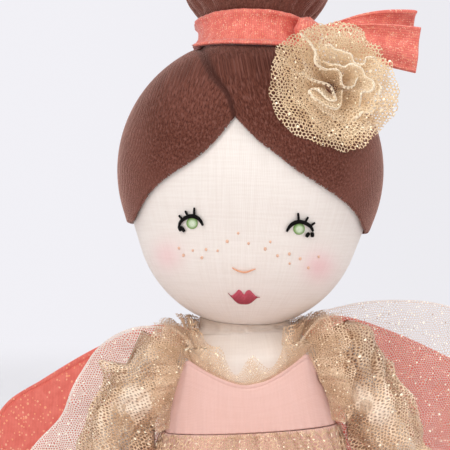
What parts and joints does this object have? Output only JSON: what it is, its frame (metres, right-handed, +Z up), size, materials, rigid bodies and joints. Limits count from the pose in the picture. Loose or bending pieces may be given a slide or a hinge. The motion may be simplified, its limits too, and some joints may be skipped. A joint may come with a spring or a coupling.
{
  "type": "rag doll",
  "caption": "Sitting stuffed cloth doll with a topknot, tulle flower, gathered dress and folding cloth wings; its arms, legs, neck and wings bend.",
  "frame": {"origin": "on the flat face that the doll sits on, under the middle of its torso", "axes": "+Z up through the sitting doll, -Y the way it faces, +X to its left"},
  "size_m": [0.1729, 0.1738, 0.2009],
  "materials": {
    "linen": "natural linen",
    "rose_linen": "rose linen",
    "gold_tulle": "glitter tulle",
    "pale_tulle": "pale glitter tulle",
    "coral_cloth": "coral lurex cloth",
    "coral_ribbon": "coral lurex ribbon",
    "velour": "brown velour",
    "black_thread": "embroidery thread",
    "green_thread": "embroidery thread",
    "orange_thread": "embroidery thread",
    "raspberry_thread": "embroidery thread"
  },
  "bodies": {
    "torso": {"torso": "linen", "neck": "linen", "dress_bodice": "rose_linen", "neck_ruffle": "gold_tulle", "skirt_lining": "rose_linen", "skirt_net": "gold_tulle", "wing_gather": "coral_cloth"},
    "head": {"head": "linen", "right_front_hair": "velour", "left_front_hair": "velour", "back_hair": "velour", "topknot": "velour", "ribbon_band": "coral_ribbon", "ribbon_knot": "coral_ribbon", "upper_ribbon_tail": "coral_ribbon", "lower_ribbon_tail": "coral_ribbon", "flower_outer_petals": "gold_tulle", "flower_middle_petals": "gold_tulle", "flower_inner_petals": "gold_tulle", "right_eye_lashes": "black_thread", "left_eye_lashes": "black_thread", "right_eye_iris": "green_thread", "left_eye_iris": "green_thread", "nose_stitch": "orange_thread", "mouth": "raspberry_thread"},
    "right_arm": {"right_arm": "linen", "right_sleeve": "gold_tulle"},
    "left_arm": {"left_arm": "linen", "left_sleeve": "gold_tulle"},
    "right_leg": {"right_leg": "linen", "right_slipper": "coral_cloth"},
    "left_leg": {"left_leg": "linen", "left_slipper": "coral_cloth"},
    "right_wing": {"right_wing": "coral_cloth", "right_wing_net": "pale_tulle"},
    "left_wing": {"left_wing": "coral_cloth", "left_wing_net": "pale_tulle"}
  },
  "joints": [
    {"name": "neck_nod", "type": "hinge", "parent": "torso", "child": "head", "pos_m": [-0.00177, 0.002, 0.0739], "axis": [0.9986, 0, 0.0523], "range_deg": [-12, 15], "stiffness_Nm_per_rad": 0.3, "deforming": ["neck", "neck_ruffle"]},
    {"name": "right_shoulder", "type": "hinge", "parent": "torso", "child": "right_arm", "pos_m": [-0.03034, 0, 0.05538], "axis": [0.9986, 0, 0.0523], "range_deg": [-140, 20], "deforming": ["right_sleeve"]},
    {"name": "left_shoulder", "type": "hinge", "parent": "torso", "child": "left_arm", "pos_m": [0.02858, 0, 0.05847], "axis": [0.9986, 0, 0.0523], "range_deg": [-140, 20], "deforming": ["left_sleeve"]},
    {"name": "right_hip", "type": "hinge", "parent": "torso", "child": "right_leg", "pos_m": [-0.014, -0.019, 0.011], "axis": [0.9945, -0.1045, 0], "range_deg": [-22, 90], "deforming": ["skirt_lining", "skirt_net"]},
    {"name": "left_hip", "type": "hinge", "parent": "torso", "child": "left_leg", "pos_m": [0.014, -0.019, 0.011], "axis": [0.9945, 0.1045, 0], "range_deg": [-22, 90], "deforming": ["skirt_lining", "skirt_net"]},
    {"name": "right_wing_fold", "type": "hinge", "parent": "torso", "child": "right_wing", "pos_m": [-0.00577, 0.023, 0.05466], "axis": [-0.0523, 0, 0.9986], "range_deg": [-50, 6], "stiffness_Nm_per_rad": 0.004},
    {"name": "left_wing_fold", "type": "hinge", "parent": "torso", "child": "left_wing", "pos_m": [0.00421, 0.023, 0.05519], "axis": [-0.0523, 0, 0.9986], "range_deg": [-6, 50], "stiffness_Nm_per_rad": 0.004}
  ]
}
